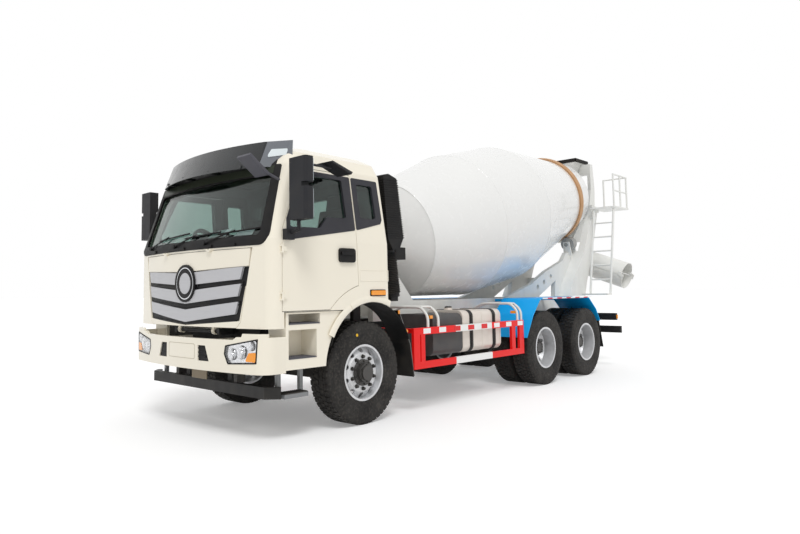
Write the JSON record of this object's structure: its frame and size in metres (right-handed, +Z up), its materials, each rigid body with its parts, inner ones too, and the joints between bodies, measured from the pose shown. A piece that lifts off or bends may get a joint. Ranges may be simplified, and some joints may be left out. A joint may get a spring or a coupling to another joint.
{
  "type": "concrete mixer truck",
  "caption": "Cab-over truck with a tilting cab, opening doors and front panel, steered front wheels, a tilted turning mixer drum, a filling hopper, ladder and platform, and a folding chute.",
  "frame": {"origin": "on the ground at the middle of the overall length and width", "axes": "+Z up, the truck's front faces -Y, +X is the truck's left"},
  "size_m": [3.12, 8.837, 3.88],
  "materials": {
    "cab_paint": "gloss cream paint",
    "drum_paint": "gloss white paint",
    "white_paint": "white paint",
    "guard_paint": "gloss red paint",
    "fender_paint": "gloss blue paint",
    "chassis_paint": "satin black paint",
    "cast_parts": "dark cast iron",
    "ring_steel": "turned steel with light rust",
    "rim_paint": "silver paint",
    "tank_alloy": "brushed aluminium",
    "strap_paint": "black paint",
    "black_plastic": "black plastic",
    "grey_plastic": "dark grey plastic",
    "trim_silver": "satin silver trim",
    "flap_rubber": "black rubber",
    "tyre_rubber": "black tyre rubber",
    "cab_windows": "tinted safety glass",
    "lamp_lens": "clear lens over chrome",
    "cabin_trim": "dark cabin trim"
  },
  "bodies": {
    "chassis": {"frame": "chassis_paint", "cross_members": "chassis_paint", "driveline": "cast_parts", "front_axle": "cast_parts", "rear_axles": "cast_parts", "springs": "chassis_paint", "bumper": "cab_paint", "headlamps": "lamp_lens", "front_underrun": "chassis_paint", "step_boxes": "cab_paint", "rear_fenders": "fender_paint", "mudflaps": "flap_rubber", "side_guards": "guard_paint", "fuel_tank": "tank_alloy", "tank_straps": "strap_paint", "chassis_units": "grey_plastic", "rear_underrun": "chassis_paint", "tail_lamps": "chassis_paint", "subframe": "white_paint", "drum_drive": "white_paint", "hopper": "white_paint", "outlet": "white_paint", "chute_post": "white_paint", "ladder": "white_paint", "platform": "white_paint", "air_intake": "black_plastic"},
    "cab": {"cab_shell": "cab_paint", "cab_glass": "cab_windows", "sun_visor": "grey_plastic", "cab_interior": "cabin_trim", "front_mirror": "grey_plastic"},
    "front_panel": {"front_panel": "cab_paint", "grille": "trim_silver"},
    "door_left": {"door_left": "cab_paint", "door_glass_left": "cab_windows", "mirror_left": "grey_plastic"},
    "door_right": {"door_right": "cab_paint", "door_glass_right": "cab_windows", "mirror_right": "grey_plastic"},
    "knuckle_left": {"knuckle_left": "cast_parts"},
    "knuckle_right": {"knuckle_right": "cast_parts"},
    "wheel_front_left": {"tyre_front_left": "tyre_rubber", "rim_front_left": "rim_paint"},
    "wheel_front_right": {"tyre_front_right": "tyre_rubber", "rim_front_right": "rim_paint"},
    "wheels_mid_left": {"tyres_mid_left": "tyre_rubber", "rims_mid_left": "rim_paint"},
    "wheels_mid_right": {"tyres_mid_right": "tyre_rubber", "rims_mid_right": "rim_paint"},
    "wheels_rear_left": {"tyres_rear_left": "tyre_rubber", "rims_rear_left": "rim_paint"},
    "wheels_rear_right": {"tyres_rear_right": "tyre_rubber", "rims_rear_right": "rim_paint"},
    "drum": {"drum": "drum_paint", "drum_ring": "ring_steel"},
    "roller_left": {"roller_left": "ring_steel"},
    "roller_right": {"roller_right": "ring_steel"},
    "chute_swivel": {"chute_swivel": "white_paint"},
    "chute_main": {"chute_main": "white_paint"},
    "chute_fold": {"chute_fold": "white_paint"}
  },
  "joints": [
    {"name": "cab_tilt", "type": "hinge", "parent": "chassis", "child": "cab", "pos_m": [0, -4.2135, 1.02], "axis": [1, 0, 0], "range_deg": [0, 45]},
    {"name": "front_panel_hinge", "type": "hinge", "parent": "cab", "child": "front_panel", "pos_m": [0, -4.3655, 1.82], "axis": [-1, 0, 0], "range_deg": [0, 75]},
    {"name": "door_left_hinge", "type": "hinge", "parent": "cab", "child": "door_left", "pos_m": [1.2585, -4.1035, 1.58], "axis": [0, 0, -1], "range_deg": [0, 70]},
    {"name": "door_right_hinge", "type": "hinge", "parent": "cab", "child": "door_right", "pos_m": [-1.2585, -4.1035, 1.58], "axis": [0, 0, 1], "range_deg": [0, 70]},
    {"name": "steer_left", "type": "hinge", "parent": "chassis", "child": "knuckle_left", "pos_m": [0.86, -2.9135, 0.54], "axis": [0, 0, 1], "range_deg": [-35, 35]},
    {"name": "steer_right", "type": "hinge", "parent": "chassis", "child": "knuckle_right", "pos_m": [-0.86, -2.9135, 0.54], "axis": [0, 0, 1], "range_deg": [-35, 35]},
    {"name": "wheel_front_left_spin", "type": "hinge", "parent": "knuckle_left", "child": "wheel_front_left", "pos_m": [1.01, -2.9135, 0.54], "axis": [1, 0, 0], "continuous": true},
    {"name": "wheel_front_right_spin", "type": "hinge", "parent": "knuckle_right", "child": "wheel_front_right", "pos_m": [-1.01, -2.9135, 0.54], "axis": [1, 0, 0], "continuous": true},
    {"name": "wheels_mid_left_spin", "type": "hinge", "parent": "chassis", "child": "wheels_mid_left", "pos_m": [0.93, 0.8615, 0.54], "axis": [1, 0, 0], "continuous": true},
    {"name": "wheels_mid_right_spin", "type": "hinge", "parent": "chassis", "child": "wheels_mid_right", "pos_m": [-0.93, 0.8615, 0.54], "axis": [1, 0, 0], "continuous": true},
    {"name": "wheels_rear_left_spin", "type": "hinge", "parent": "chassis", "child": "wheels_rear_left", "pos_m": [0.93, 2.2115, 0.54], "axis": [1, 0, 0], "continuous": true},
    {"name": "wheels_rear_right_spin", "type": "hinge", "parent": "chassis", "child": "wheels_rear_right", "pos_m": [-0.93, 2.2115, 0.54], "axis": [1, 0, 0], "continuous": true},
    {"name": "drum_spin", "type": "hinge", "parent": "chassis", "child": "drum", "pos_m": [0, -1.4955, 2.033], "axis": [0, 0.9767, 0.2144], "continuous": true},
    {"name": "roller_left_spin", "type": "hinge", "parent": "chassis", "child": "roller_left", "pos_m": [0.45, 3.31818, 2.23476], "axis": [0, 0.9767, 0.2144], "continuous": true},
    {"name": "roller_right_spin", "type": "hinge", "parent": "chassis", "child": "roller_right", "pos_m": [-0.45, 3.31818, 2.23476], "axis": [0, 0.9767, 0.2144], "continuous": true},
    {"name": "chute_swing", "type": "hinge", "parent": "chassis", "child": "chute_swivel", "pos_m": [0, 4.1465, 1.6], "axis": [0, 0, 1], "range_deg": [0, 180]},
    {"name": "chute_tilt", "type": "hinge", "parent": "chute_swivel", "child": "chute_main", "pos_m": [0.12, 4.1465, 2.01], "axis": [0, -1, 0], "range_deg": [-20, 10]},
    {"name": "chute_fold_hinge", "type": "hinge", "parent": "chute_main", "child": "chute_fold", "pos_m": [1.18185, 4.1465, 1.62352], "axis": [0, 1, 0], "range_deg": [0, 175]}
  ],
  "couplings": [
    {"joint": "steer_right", "follows": "steer_left", "ratio": 1},
    {"joint": "roller_left_spin", "follows": "drum_spin", "ratio": -6.584},
    {"joint": "roller_right_spin", "follows": "drum_spin", "ratio": -6.584}
  ]
}
